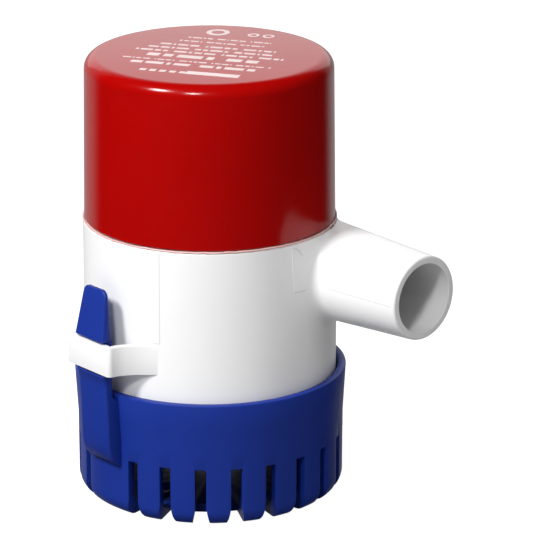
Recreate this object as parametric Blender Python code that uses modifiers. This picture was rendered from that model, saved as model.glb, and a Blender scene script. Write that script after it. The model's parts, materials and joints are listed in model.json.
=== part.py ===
"""Submersible bilge pump: a motor pump that snaps into a slotted strainer base.

Metres, +Z up, origin at the centre of the strainer's underside, hose spigot along +X.
Every sub-part is one named object, and moving parts hang on empties at their joints.
"""
import math

import bmesh
import bpy
from mathutils import Matrix, Vector

MM = 0.001
GAP = 0.3                      # running clearance between neighbouring parts

# Driving dimensions, in millimetres.
CAP_RADIUS_TOP = 28.1
CAP_RADIUS_SEAM = 28.5
CAP_TOP = 102.0
CAP_ROUNDING = 3.0
SEAM_HEIGHT = 64.4
CAP_WALL = 2.2
BODY_RADIUS = 28.8
BODY_WALL = 2.0
BODY_BOTTOM = 15.3
RIM_HEIGHT = 29.3
RIM_RADIUS = 31.1
STRAINER_RADIUS = 30.4
STRAINER_BORE = 29.2
FOOT_ROUNDING = 3.8
FLOOR_THICKNESS = 2.0
SLOT_TOP = 13.9
SLOT_WIDTH = 2.6
SLOT_FLARE = 4.4               # the slots widen below the foot's rounding
SLOT_FLARE_TOP = 4.5
SLOT_LENGTH = 20.0
SLOT_ROOT_RADIUS = 20.5
SLOT_PITCH = 15.4              # degrees
SLOT_FIRST = 15.7              # degrees from the front tab
SLOTS_PER_SIDE = 10
TAB_AZIMUTH = -4.0             # degrees from -Y towards +X
TAB_FACE = 34.1
TAB_BACK = 32.0
TAB_HALF_WIDTH = 4.95
TAB_TOP = 53.85
TAB_TOP_HALF_WIDTH = 3.85
TAB_TOP_FACE = 33.1
TAB_TOP_BACK = 32.2
TAB_NECK_FACE = 33.4
TAB_FLARE_FACE = 34.9
TAB_FLARE_HEIGHT = 34.2
TAB_EDGE_ROUNDING = 0.35
TAB_HINGE_FACE = 33.05
HOOK_BOTTOM = 42.4
HOOK_FACE = 35.2
LOOP_FACE = 35.3
LOOP_WALL = 1.5
LOOP_BOTTOM = 35.1
LOOP_TOP = 41.9
LOOP_HALF_WIDTH = 7.75
SPIGOT_Y = 15.1
SPIGOT_Z = 53.6
SPIGOT_TIP = 53.05
SPIGOT_RADIUS_TIP = 9.6
SPIGOT_RADIUS_ROOT = 10.6
SPIGOT_BORE = 7.9
CUP_RADIUS = 20.3
CUP_BORE = 18.3
CUP_FLOOR = 29.0
CUP_FLANGE = 61.6
SHAFT_RADIUS = 1.6
SHAFT_HOLE = SHAFT_RADIUS + GAP
BEARING_RADIUS = 3.9
CAN_RADIUS = 17.95
CAN_BOTTOM = 36.3
CAN_TOP = 86.0
IMPELLER_RADIUS = 21.5
IMPELLER_BLADES = 5
GLAND_AZIMUTH = 225.0
GLAND_HEIGHT = 77.0
GLAND_HOLE_RADIUS = 4.6
SUMP_RADIUS = 28.2             # inside the slotted wall, under the pump's seat
SUMP_CORNER_HEIGHT = 5.2
SUMP_FLOOR_RADIUS = 24.0
WAIST_HEIGHT = 18.0            # the wall widens from here up to the rim
SCREW_SPREAD = 14.0            # mounting screws, each side of the axis
SCREW_HOLE_RADIUS = 2.3
RIB_ROOT = 29.4
RIB_SHOULDER = (33.6, 17.2)
RIB_CHAMFER = (32.4, 13.8)
RIB_BOTTOM = 12.0
TAB_STRAIGHT_TOP = 32.0
TAB_FLARE_LIP = 0.4
HOOK_LIP = 0.6
TAPER_START = 50.0             # only the arm's top end lies above this
SPIGOT_START = 9.0             # hidden end of the spigot, inside the housing
LOOP_ENDS = [(11.2, -25.9), (9.6, -28.4), (8.3, -30.6)]
LOOP_CORNER = 1.2
CUT_MARGIN = 2.0               # how far a cutter runs past what it cuts
CUP_WALL_CORNER = 1.5
CUP_FLOOR_TOP = 31.0
GROOVE_TOP = 63.75
GROOVE_BOTTOM = 62.05
GROOVE_DEPTH = 1.5
SEAL_RADIUS = 4.7
SEAL_POCKET_TOP = 33.9
SEAL_BOSS_TOP = 35.9
EYE_RADIUS = 9.2
EYE_WALL = 2.0
PLATE_BOTTOM = 15.6
PLATE_TOP = 17.6
EYE_LIP = 14.2
CORE_RADIUS = 12.6
CORE_BOTTOM = 46.2
CORE_TOP = 66.2
CORE_SLOTS = 5
CORE_SLOT_CENTRE = 8.4
MAGNET_INNER = 13.3
MAGNET_OUTER = 16.5
COMMUTATOR_RADIUS = 4.5
BRUSH_HEIGHT = 78.0            # middle of the brushes and their springs
HUB_RADIUS = 5.4
INSERT_RADIUS = 3.4

LARGE_STEPS = 48               # facets round the housings
SMALL_STEPS = 16               # facets round the small turned parts

FINISHES = {
    "red_plastic": ((0.42, 0.008, 0.012), 0.18, 0.0),
    "white_plastic": ((0.82, 0.82, 0.80), 0.32, 0.0),
    "blue_plastic": ((0.01, 0.06, 0.42), 0.38, 0.0),
    "black_plastic": ((0.02, 0.02, 0.022), 0.45, 0.0),
    "black_rubber": ((0.015, 0.015, 0.016), 0.7, 0.0),
    "zinc_steel": ((0.55, 0.55, 0.56), 0.35, 1.0),
    "shaft_steel": ((0.6, 0.6, 0.62), 0.2, 1.0),
    "ferrite": ((0.05, 0.05, 0.055), 0.8, 0.0),
    "copper": ((0.72, 0.33, 0.18), 0.35, 1.0),
    "brass": ((0.72, 0.52, 0.22), 0.3, 1.0),
    "bronze": ((0.45, 0.28, 0.12), 0.5, 1.0),
    "graphite": ((0.06, 0.06, 0.065), 0.5, 0.2),
    "brown_insulation": ((0.16, 0.06, 0.025), 0.45, 0.0),
    "black_insulation": ((0.02, 0.02, 0.02), 0.45, 0.0),
    "ceramic_blue": ((0.05, 0.18, 0.4), 0.4, 0.0),
}


def clear_scene():
    for old in list(bpy.data.objects):
        bpy.data.objects.remove(old, do_unlink=True)
    for old in list(bpy.data.collections):
        bpy.data.collections.remove(old)


def new_collection(name):
    made = bpy.data.collections.new(name)
    bpy.context.scene.collection.children.link(made)
    return made


def make_material(name):
    color, roughness, metallic = FINISHES[name]
    made = bpy.data.materials.new(name)
    made.use_nodes = True
    shader = made.node_tree.nodes["Principled BSDF"]
    shader.inputs["Base Color"].default_value = (*color, 1.0)
    shader.inputs["Roughness"].default_value = roughness
    shader.inputs["Metallic"].default_value = metallic
    return made


clear_scene()
PARTS = new_collection("bilge_pump")
TOOLS = new_collection("cutters")
MATERIALS = {name: make_material(name) for name in FINISHES}


# ---------------------------------------------------------------- building blocks

def add_object(name, data, finish, parent=None):
    """Link a part; a finish of None makes it a hidden tool for a Boolean."""
    made = bpy.data.objects.new(name, data)
    if finish is None:
        TOOLS.objects.link(made)
        made.hide_render = True
        made.display_type = "WIRE"
        return made
    PARTS.objects.link(made)
    data.materials.append(MATERIALS[finish])
    if parent is not None:
        made.parent = parent
        made.matrix_parent_inverse = parent.matrix_basis.inverted()
    return made


def mesh_from(name, build):
    mesh = bpy.data.meshes.new(name)
    work = bmesh.new()
    build(work)
    bmesh.ops.recalc_face_normals(work, faces=work.faces)
    work.to_mesh(mesh)
    work.free()
    return mesh


def smooth(part, degrees=35):
    part.data.shade_smooth()
    part.data.set_sharp_from_angle(angle=math.radians(degrees))


def arc(centre_r, centre_z, radius, start, end, count):
    """Profile points round a corner, angles in degrees from +R towards +Z."""
    points = []
    for step in range(count + 1):
        angle = math.radians(start + (end - start) * step / count)
        points.append((centre_r + radius * math.cos(angle),
                       centre_z + radius * math.sin(angle)))
    return points


def turned(name, profile, finish, steps=SMALL_STEPS, parent=None, closed=True):
    """Turn an (r, z) profile round Z; it runs down its outer side, top to bottom."""
    mesh = bpy.data.meshes.new(name)
    corners = [(r * MM, 0.0, z * MM) for r, z in profile]
    edges = [(i, i + 1) for i in range(len(corners) - 1)]
    if closed:
        edges.append((len(corners) - 1, 0))
    mesh.from_pydata(corners, edges, [])
    part = add_object(name, mesh, finish, parent)
    screw = part.modifiers.new("turn", "SCREW")
    screw.axis = "Z"
    screw.steps = steps
    screw.render_steps = steps
    screw.use_merge_vertices = True
    screw.merge_threshold = 0.00001
    screw.use_smooth_shade = True
    return part


def ring(name, inner, outer, bottom, top, finish, steps=SMALL_STEPS, parent=None):
    profile = [(outer, top), (outer, bottom), (inner, bottom), (inner, top)]
    return turned(name, profile, finish, steps, parent)


def rod(name, radius, bottom, top, finish, steps=SMALL_STEPS, parent=None):
    profile = [(0.0, top), (radius, top), (radius, bottom), (0.0, bottom)]
    return turned(name, profile, finish, steps, parent, closed=False)


def combine(part, tool, operation):
    cut = part.modifiers.new(tool.name, "BOOLEAN")
    cut.operation = operation
    cut.object = tool
    cut.solver = "EXACT"
    return part


def add_box(work, low, high, turn=0.0):
    """A box between two corners in mm, then turned round Z by degrees."""
    size = [(b - a) * MM for a, b in zip(low, high)]
    middle = [(a + b) / 2 * MM for a, b in zip(low, high)]
    place = (Matrix.Rotation(math.radians(turn), 4, "Z")
             @ Matrix.Translation(middle) @ Matrix.Diagonal((*size, 1.0)))
    return bmesh.ops.create_cube(work, size=1.0, matrix=place)["verts"]


def box(name, low, high, finish, turn=0.0, parent=None):
    mesh = mesh_from(name, lambda work: add_box(work, low, high, turn))
    return add_object(name, mesh, finish, parent)


def prism(name, outline, bottom, top, finish, parent=None):
    """Extrude a flat (x, y) outline in mm from bottom to top."""
    def build(work):
        corners = [work.verts.new((x * MM, y * MM, bottom * MM)) for x, y in outline]
        face = work.faces.new(corners)
        raised = bmesh.ops.extrude_face_region(work, geom=[face])["geom"]
        moved = [item for item in raised if isinstance(item, bmesh.types.BMVert)]
        bmesh.ops.translate(work, verts=moved, vec=(0, 0, (top - bottom) * MM))
    return add_object(name, mesh_from(name, build), finish, parent)


def strip_outline(centreline, thickness):
    """Give a flat centreline a thickness, as a closed outline."""
    left, right = [], []
    for index, point in enumerate(centreline):
        before = Vector(centreline[max(index - 1, 0)])
        after = Vector(centreline[min(index + 1, len(centreline) - 1)])
        along = (after - before).normalized()
        side = Vector((-along.y, along.x)) * thickness / 2
        left.append(tuple(Vector(point) + side))
        right.append(tuple(Vector(point) - side))
    return left + right[::-1]


def outward(azimuth):
    angle = math.radians(azimuth)
    return Vector((math.sin(angle), -math.cos(angle), 0.0))


def joint_empty(name, place, parent=None):
    empty = bpy.data.objects.new(name, None)
    TOOLS.objects.link(empty)
    empty.empty_display_size = 0.01
    empty.hide_render = True
    empty.location = Vector(place) * MM
    if parent is not None:
        empty.parent = parent
        empty.matrix_parent_inverse = parent.matrix_basis.inverted()
    return empty


def catmull(points, per_span):
    """Points of a smooth curve through the given ones."""
    knots = [Vector(p) for p in points]
    knots = [2 * knots[0] - knots[1]] + knots + [2 * knots[-1] - knots[-2]]
    result = []
    for a, b, c, d in zip(knots, knots[1:], knots[2:], knots[3:]):
        for step in range(per_span):
            t = step / per_span
            result.append(0.5 * (2 * b + (c - a) * t + (2 * a - 5 * b + 4 * c - d) * t * t
                                 + (3 * b - a - 3 * c + d) * t * t * t))
    return result + [knots[-2]]


def wire(name, points, radius, finish, parent=None):
    curve = bpy.data.curves.new(name, "CURVE")
    curve.dimensions = "3D"
    curve.bevel_depth = radius * MM
    curve.bevel_resolution = 2
    curve.use_fill_caps = True
    spline = curve.splines.new("POLY")
    spline.points.add(len(points) - 1)
    for knot, point in zip(spline.points, points):
        knot.co = (*(Vector(point) * MM), 1.0)
    return add_object(name, curve, finish, parent)


PUMP = joint_empty("pump_lift", (0, 0, 0))
ROTOR = joint_empty("rotor_spin", (0, 0, 0), PUMP)


# ---------------------------------------------------------------- strainer base

def make_strainer():
    """Blue cup with radial slots, a seat for the pump and a boxed rib under each tab."""
    profile = [(0.0, FLOOR_THICKNESS), (SUMP_FLOOR_RADIUS, FLOOR_THICKNESS),
               (SUMP_RADIUS, SUMP_CORNER_HEIGHT), (SUMP_RADIUS, BODY_BOTTOM - GAP),
               (STRAINER_BORE, BODY_BOTTOM - GAP), (STRAINER_BORE, RIM_HEIGHT),
               (RIM_RADIUS, RIM_HEIGHT), (STRAINER_RADIUS, WAIST_HEIGHT)]
    centre = STRAINER_RADIUS - FOOT_ROUNDING
    profile += arc(centre, FOOT_ROUNDING, FOOT_ROUNDING, 0, -90, 4)
    profile.append((0.0, 0.0))
    base = turned("strainer_base", profile, "blue_plastic", LARGE_STEPS, closed=False)
    for side, azimuth in (("front", TAB_AZIMUTH), ("back", TAB_AZIMUTH + 180)):
        rib = make_rib("rib_" + side)
        rib.rotation_euler.z = math.radians(azimuth)
        combine(base, rib, "UNION")

    def slots(work):
        narrow, wide = SLOT_WIDTH / 2, SLOT_FLARE / 2
        outline = [(-wide, -1), (wide, -1), (narrow, SLOT_FLARE_TOP), (narrow, SLOT_TOP),
                   (-narrow, SLOT_TOP), (-narrow, SLOT_FLARE_TOP)]
        for step in range(SLOTS_PER_SIDE):
            for sign in (-1, 1):
                turn = math.radians(TAB_AZIMUTH + sign * (SLOT_FIRST + SLOT_PITCH * step))
                corners = [work.verts.new((x * MM, -SLOT_ROOT_RADIUS * MM, z * MM))
                           for x, z in outline]
                raised = bmesh.ops.extrude_face_region(work, geom=[work.faces.new(corners)])
                moved = [v for v in raised["geom"] if isinstance(v, bmesh.types.BMVert)]
                bmesh.ops.translate(work, verts=moved, vec=(0, -SLOT_LENGTH * MM, 0))
                bmesh.ops.rotate(work, verts=corners + moved, cent=(0, 0, 0),
                                 matrix=Matrix.Rotation(turn, 3, "Z"))

    def screw_holes(work):
        for sign in (-1, 1):
            place = Matrix.Translation((0, sign * SCREW_SPREAD * MM, 0))
            bmesh.ops.create_cone(work, cap_ends=True, segments=SMALL_STEPS,
                                  radius1=SCREW_HOLE_RADIUS * MM,
                                  radius2=SCREW_HOLE_RADIUS * MM, depth=10 * MM, matrix=place)
    combine(base, add_object("slot_cutter", mesh_from("slot_cutter", slots), None),
            "DIFFERENCE")
    combine(base, add_object("screw_cutter", mesh_from("screw_cutter", screw_holes), None),
            "DIFFERENCE")


def side_prism(name, outline, half_width, finish, parent=None):
    """Extrude a (distance from axis, z) outline across the -Y side."""
    def build(work):
        corners = [work.verts.new((-half_width * MM, -d * MM, z * MM)) for d, z in outline]
        face = work.faces.new(corners)
        raised = bmesh.ops.extrude_face_region(work, geom=[face])["geom"]
        moved = [item for item in raised if isinstance(item, bmesh.types.BMVert)]
        bmesh.ops.translate(work, verts=moved, vec=(2 * half_width * MM, 0, 0))
    return add_object(name, mesh_from(name, build), finish, parent)


def make_rib(name):
    outline = [(RIB_ROOT, RIM_HEIGHT), (TAB_FACE, RIM_HEIGHT), RIB_SHOULDER, RIB_CHAMFER,
               (RIB_ROOT, RIB_BOTTOM)]
    return side_prism(name, outline, TAB_HALF_WIDTH, None)


def make_tabs():
    """Sprung arms that pass through the pump's loops and hook over them."""
    outline = [(TAB_BACK, RIM_HEIGHT + GAP), (TAB_FACE, RIM_HEIGHT + GAP),
               (TAB_FACE, TAB_STRAIGHT_TOP),
               (TAB_FLARE_FACE, TAB_FLARE_HEIGHT), (TAB_NECK_FACE, TAB_FLARE_HEIGHT + TAB_FLARE_LIP),
               (TAB_NECK_FACE, HOOK_BOTTOM), (HOOK_FACE, HOOK_BOTTOM),
               (HOOK_FACE, HOOK_BOTTOM + HOOK_LIP), (TAB_TOP_FACE, TAB_TOP), (TAB_TOP_BACK, TAB_TOP)]
    for side, azimuth in (("front", TAB_AZIMUTH), ("back", TAB_AZIMUTH + 180)):
        hinge = joint_empty("hinge_" + side,
                            outward(azimuth) * TAB_HINGE_FACE
                            + Vector((0, 0, RIM_HEIGHT + GAP / 2)))
        tab = side_prism("snap_tab_" + side, outline, TAB_HALF_WIDTH, "blue_plastic")
        for vertex in tab.data.vertices:
            if vertex.co.z > TAPER_START * MM:
                vertex.co.x *= TAB_TOP_HALF_WIDTH / TAB_HALF_WIDTH
        tab.data.transform(Matrix.Rotation(math.radians(azimuth), 4, "Z"))
        tab.parent = hinge
        tab.matrix_parent_inverse = hinge.matrix_basis.inverted()
        bevel = tab.modifiers.new("rounded_edges", "BEVEL")
        bevel.width = TAB_EDGE_ROUNDING * MM
        bevel.segments = 1
        bevel.limit_method = "ANGLE"


# ---------------------------------------------------------------- pump housings

def make_pump_body():
    """White housing with a tangential hose spigot and a loop over each tab."""
    top = SEAM_HEIGHT - GAP / 2
    body = rod("pump_body", BODY_RADIUS, BODY_BOTTOM, top, "white_plastic", LARGE_STEPS, PUMP)

    def spigot(work):
        depth = SPIGOT_TIP - SPIGOT_START
        place = (Matrix.Translation(Vector((SPIGOT_START + depth / 2, SPIGOT_Y, SPIGOT_Z)) * MM)
                 @ Matrix.Rotation(math.radians(90), 4, "Y"))
        bmesh.ops.create_cone(work, cap_ends=True, segments=40, depth=depth * MM,
                              radius1=SPIGOT_RADIUS_ROOT * MM,
                              radius2=SPIGOT_RADIUS_TIP * MM, matrix=place)

    def bore(work):
        start, end = 1.0, SPIGOT_TIP + 5
        place = (Matrix.Translation(Vector(((start + end) / 2, SPIGOT_Y, SPIGOT_Z)) * MM)
                 @ Matrix.Rotation(math.radians(90), 4, "Y"))
        bmesh.ops.create_cone(work, cap_ends=True, segments=40, depth=(end - start) * MM,
                              radius1=SPIGOT_BORE * MM, radius2=SPIGOT_BORE * MM, matrix=place)
    combine(body, add_object("spigot_solid", mesh_from("spigot_solid", spigot), None), "UNION")
    middle = LOOP_FACE - LOOP_WALL / 2
    side = LOOP_HALF_WIDTH - LOOP_WALL / 2
    half = LOOP_ENDS + [(side, -middle + LOOP_CORNER), (side - LOOP_CORNER, -middle)]
    path = half + [(-x, y) for x, y in reversed(half)]
    for name, azimuth in (("front", TAB_AZIMUTH), ("back", TAB_AZIMUTH + 180)):
        loop = prism("loop_" + name, strip_outline(path, LOOP_WALL), LOOP_BOTTOM, LOOP_TOP, None)
        loop.rotation_euler.z = math.radians(azimuth)
        combine(body, loop, "UNION")
    cavity = rod("body_cavity", BODY_RADIUS - BODY_WALL, BODY_BOTTOM - CUT_MARGIN,
                 top + CUT_MARGIN, None, LARGE_STEPS)
    combine(body, cavity, "DIFFERENCE")
    combine(body, add_object("spigot_bore", mesh_from("spigot_bore", bore), None), "DIFFERENCE")


def make_motor_cap():
    """Red cap over the motor, with a hole for the cable gland at the back."""
    bottom = SEAM_HEIGHT + GAP / 2
    rounding = arc(CAP_RADIUS_TOP - CAP_ROUNDING, CAP_TOP - CAP_ROUNDING, CAP_ROUNDING, 90, 0, 4)
    inner = CAP_RADIUS_TOP - CAP_WALL
    roof = CAP_TOP - CAP_WALL
    profile = [(0.0, CAP_TOP)] + rounding
    profile += [(CAP_RADIUS_SEAM, bottom), (inner + 0.4, bottom), (inner, roof - 2),
                (inner - 2, roof), (0.0, roof)]
    cap = turned("motor_cap", profile, "red_plastic", LARGE_STEPS, PUMP, closed=False)
    hole = rod("gland_hole", GLAND_HOLE_RADIUS, 22.0, 34.0, None)
    place_gland(hole)
    combine(cap, hole, "DIFFERENCE")


def place_gland(part):
    """Turn a part made along +Z so that it points out of the cap at the gland."""
    direction = outward(GLAND_AZIMUTH)
    turn = direction.to_track_quat("Z", "X").to_matrix().to_4x4()
    part.matrix_world = Matrix.Translation((0, 0, GLAND_HEIGHT * MM)) @ turn


def make_gland():
    profile = [(5.6, 31.6), (5.6, 29.2), (4.25, 29.2), (4.25, 25.2), (5.4, 25.2),
               (5.4, 23.6), (0.0, 23.6)]
    gland = turned("cable_gland", [(0.0, 30.4), (3.4, 30.4), (3.4, 31.6)] + profile,
                   "black_rubber", SMALL_STEPS, closed=False)
    place_gland(gland)
    kept = gland.matrix_world.copy()
    gland.parent = PUMP
    gland.matrix_world = kept


def make_cup():
    """Inner cup that keeps the motor dry; its flange closes the water space."""
    top = SEAM_HEIGHT - GAP
    edge = BODY_RADIUS - BODY_WALL - GAP
    profile = [(edge, top), (edge, GROOVE_TOP), (edge - GROOVE_DEPTH, GROOVE_TOP),
               (edge - GROOVE_DEPTH, GROOVE_BOTTOM), (edge, GROOVE_BOTTOM), (edge, CUP_FLANGE),
               (CUP_RADIUS, CUP_FLANGE),
               (CUP_RADIUS, CUP_FLOOR + CUP_WALL_CORNER), (CUP_RADIUS - CUP_WALL_CORNER, CUP_FLOOR),
               (SEAL_RADIUS + GAP, CUP_FLOOR), (SEAL_RADIUS + GAP, SEAL_POCKET_TOP),
               (3.0, SEAL_POCKET_TOP), (3.0, SEAL_BOSS_TOP), (7.0, SEAL_BOSS_TOP),
               (7.0, CUP_FLOOR_TOP), (CUP_BORE, CUP_FLOOR_TOP), (CUP_BORE, top)]
    turned("motor_cup", profile, "white_plastic", LARGE_STEPS, PUMP)
    centre, thick = edge - GROOVE_DEPTH / 2, 0.55
    section = arc(centre, (GROOVE_TOP + GROOVE_BOTTOM) / 2, thick, 0, -300, 5)
    turned("cup_seal_ring", section, "black_rubber", 36, PUMP)
    ring("shaft_seal", SHAFT_HOLE, SEAL_RADIUS, 30.4, 33.5, "black_rubber", parent=PUMP)
    ring("seal_retainer", SHAFT_HOLE + 0.4, SEAL_RADIUS, CUP_FLOOR, 30.1, "zinc_steel", parent=PUMP)


def make_intake_plate():
    """Plate with the pump's eye, which closes the impeller chamber."""
    edge = BODY_RADIUS - BODY_WALL - GAP
    profile = [(edge, PLATE_TOP), (edge, PLATE_BOTTOM), (EYE_RADIUS + EYE_WALL, PLATE_BOTTOM),
               (EYE_RADIUS + EYE_WALL, EYE_LIP), (EYE_RADIUS, EYE_LIP), (EYE_RADIUS, PLATE_TOP)]
    turned("intake_plate", profile, "black_plastic", LARGE_STEPS, PUMP)


# ---------------------------------------------------------------- motor

def make_motor_shell():
    ring_profile = [(CAN_RADIUS, CAN_TOP), (CAN_RADIUS, CAN_BOTTOM + 1.2),
                    (CAN_RADIUS - 1.2, CAN_BOTTOM), (BEARING_RADIUS + GAP, CAN_BOTTOM),
                    (BEARING_RADIUS + GAP, CAN_BOTTOM + 1.1), (CAN_RADIUS - 1.1, CAN_BOTTOM + 1.1),
                    (CAN_RADIUS - 1.1, CAN_TOP)]
    turned("motor_can", ring_profile, "zinc_steel", 32, PUMP)
    shelf = CAN_TOP + GAP
    hole = BEARING_RADIUS + GAP
    profile = [(CAN_RADIUS, shelf + 2.0), (CAN_RADIUS, shelf), (16.5, shelf), (16.5, shelf - 2.2),
               (14.4, shelf - 2.2), (14.4, shelf), (hole, shelf), (hole, shelf + 4.0),
               (6.5, shelf + 4.0), (6.5, shelf + 2.0)]
    bell = turned("motor_end_bell", profile, "black_plastic", 32, PUMP)
    for side, sign in (("left", -1), ("right", 1)):
        holder = box("holder_" + side, (min(sign * 14.3, sign * 15.9), -3.0, 75.0),
                     (max(sign * 14.3, sign * 15.9), 3.0, shelf + 1.0), None)
        combine(bell, holder, "UNION")
    ring("bearing_lower", SHAFT_HOLE, BEARING_RADIUS, 36.4, 39.4, "bronze", parent=PUMP)
    ring("bearing_upper", SHAFT_HOLE, BEARING_RADIUS, 86.6, 89.8, "bronze", parent=PUMP)


def sector_outline(inner, outer, start, end, count):
    """Outline of a curved bar between two azimuths in degrees."""
    def point(radius, step):
        angle = math.radians(start + (end - start) * step / count)
        return (radius * math.cos(angle), radius * math.sin(angle))
    near = [point(outer, step) for step in range(count + 1)]
    far = [point(inner, count - step) for step in range(count + 1)]
    return near + far


def make_magnets():
    for side, start in (("left", 110), ("right", -70)):
        prism("magnet_" + side, sector_outline(MAGNET_INNER, MAGNET_OUTER, start, start + 140, 12),
              44.0, 70.0, "ferrite", PUMP)
    prism("magnet_clip", sector_outline(MAGNET_OUTER - 1, MAGNET_OUTER, 73, 107, 4),
          46.0, 68.0, "zinc_steel", PUMP)


def make_brush_gear():
    for side, sign in (("left", -1), ("right", 1)):
        near, far = sign * 4.9, sign * 10.0
        box("brush_" + side, (min(near, far), -1.6, BRUSH_HEIGHT - 2),
            (max(near, far), 1.6, BRUSH_HEIGHT + 2),
            "graphite", parent=PUMP)
        turns, per_turn, length = 3, 8, 3.2
        coil = []
        for step in range(turns * per_turn + 1):
            angle = 2 * math.pi * step / per_turn
            along = sign * (10.6 + length * step / (turns * per_turn))
            coil.append((along, 1.5 * math.cos(angle), BRUSH_HEIGHT + 1.5 * math.sin(angle)))
        wire("brush_spring_" + side, coil, 0.22, "shaft_steel", PUMP)
    for side, sign in (("positive", -1), ("negative", 1)):
        near, far = sign * 8.6, sign * 12.0
        box("terminal_" + side, (min(near, far), -0.45, 88.7), (max(near, far), 0.45, 93.0),
            "brass", parent=PUMP)
    capacitor = rod("capacitor", 3.2, -1.2, 1.2, "ceramic_blue", 20)
    capacitor.rotation_euler.x = math.radians(90)
    capacitor.location = (0.0, 9.5 * MM, 92.2 * MM)
    capacitor.parent = PUMP


def make_leads():
    """Motor leads from the terminals to the inner end of the cable gland."""
    out = outward(GLAND_AZIMUTH)
    side = Vector((out.y, -out.x, 0.0))
    up = Vector((0, 0, GLAND_HEIGHT))
    for name, sign, finish in (("brown", -1, "brown_insulation"),
                               ("black", 1, "black_insulation")):
        end = out * 23.2 + up + side * (sign * 1.6)
        inside = out * 21.6 + up + side * (sign * 1.6) + Vector((0, 0, 1.5))
        if sign < 0:
            route = [(-10.3, 0, 93.4), (-10.6, 2.0, 95.6), (-13.0, 7.5, 95.4),
                     (-15.8, 12.5, 90.0), inside, end]
        else:
            route = [(10.3, 0, 93.4), (9.6, 3.0, 95.8), (4.0, 15.0, 96.0),
                     (-8.0, 18.8, 92.0), inside, end]
        wire("lead_wire_" + name, catmull(route, 4), 0.85, finish, PUMP)


# ---------------------------------------------------------------- rotor

def make_rotor():
    rod("shaft", SHAFT_RADIUS, 18.2, 91.2, "shaft_steel", 16, ROTOR)
    core = ring("armature_core", SHAFT_HOLE, CORE_RADIUS, CORE_BOTTOM, CORE_TOP, "zinc_steel", 30,
                ROTOR)

    def tunnels(work, radius, low, high):
        for step in range(CORE_SLOTS):
            place = (Matrix.Rotation(math.radians(360 / CORE_SLOTS * step), 4, "Z")
                     @ Matrix.Translation((CORE_SLOT_CENTRE * MM, 0, (low + high) / 2 * MM)))
            bmesh.ops.create_cone(work, cap_ends=True, segments=12, radius1=radius * MM,
                                  radius2=radius * MM, depth=(high - low) * MM, matrix=place)

    def mouths(work):
        for step in range(CORE_SLOTS):
            add_box(work, (8.0, -0.7, 40.0), (14.0, 0.7, 72.0), 360 / CORE_SLOTS * step)
    combine(core, add_object("tunnels", mesh_from("tunnels", lambda w: tunnels(w, 2.3, 40, 72)),
                             None), "DIFFERENCE")
    combine(core, add_object("mouths", mesh_from("mouths", mouths), None), "DIFFERENCE")
    low = [(10.8, 45.0), (11.2, 43.8), (10.2, 42.0), (5.0, 42.0), (4.0, 43.6), (4.4, 45.8),
           (10.2, 45.8)]
    winding = turned("armature_winding", low, "copper", 20, ROTOR)
    high = [(r, CORE_TOP + CORE_BOTTOM - z) for r, z in reversed(low)]
    combine(winding, turned("winding_top", high, None, 20), "UNION")
    bars = mesh_from("bars", lambda w: tunnels(w, 1.95, 44, 68))
    combine(winding, add_object("bars", bars, None), "UNION")
    commutator = ring("commutator", SHAFT_HOLE, COMMUTATOR_RADIUS, 73.5, 81.6, "copper", 20, ROTOR)

    def gaps(work):
        for step in range(CORE_SLOTS):
            add_box(work, (3.7, -0.3, 74.6), (6.0, 0.3, 83.0), 360 / CORE_SLOTS * (step + 0.5))
    combine(commutator, add_object("segment_gaps", mesh_from("segment_gaps", gaps), None),
            "DIFFERENCE")
    ring("thrust_washer_lower", SHAFT_HOLE, 4.0, 39.8, 40.6, "black_plastic", parent=ROTOR)
    ring("thrust_washer_upper", SHAFT_HOLE, 3.8, 84.6, 85.4, "black_plastic", parent=ROTOR)


def make_impeller():
    """Open impeller with back-swept blades, moulded round a brass insert."""
    hub = [(HUB_RADIUS, 27.6), (IMPELLER_RADIUS, 27.6), (IMPELLER_RADIUS, 26.2), (7.0, 25.4),
           (HUB_RADIUS, 19.0), (INSERT_RADIUS + GAP, 19.0), (INSERT_RADIUS + GAP, 27.6)]
    wheel = turned("impeller", hub, "black_plastic", 30, ROTOR)
    for number in range(IMPELLER_BLADES):
        path = []
        for step in range(7):
            radius = 4.6 + (20.9 - 4.6) * step / 6
            angle = math.radians(360 / IMPELLER_BLADES * number - 62 * (step / 6) ** 0.8)
            path.append((radius * math.cos(angle), radius * math.sin(angle)))
        blade = prism("blade_%d" % number, strip_outline(path, 1.5), 19.6, 26.8, None)
        combine(wheel, blade, "UNION")
    ring("impeller_insert", SHAFT_HOLE, INSERT_RADIUS, 19.4, 27.2, "brass", parent=ROTOR)


make_strainer()
make_tabs()
make_pump_body()
make_motor_cap()
make_gland()
make_cup()
make_intake_plate()
make_motor_shell()
make_magnets()
make_brush_gear()
make_leads()
make_rotor()
make_impeller()
for made_part in PARTS.objects:
    if made_part.type == "MESH" and made_part.data.polygons:
        smooth(made_part)
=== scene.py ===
"""Looks of a submersible bilge pump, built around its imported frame."""

import json
import math

import bmesh
import bpy
from mathutils import Matrix, Vector, noise


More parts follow.
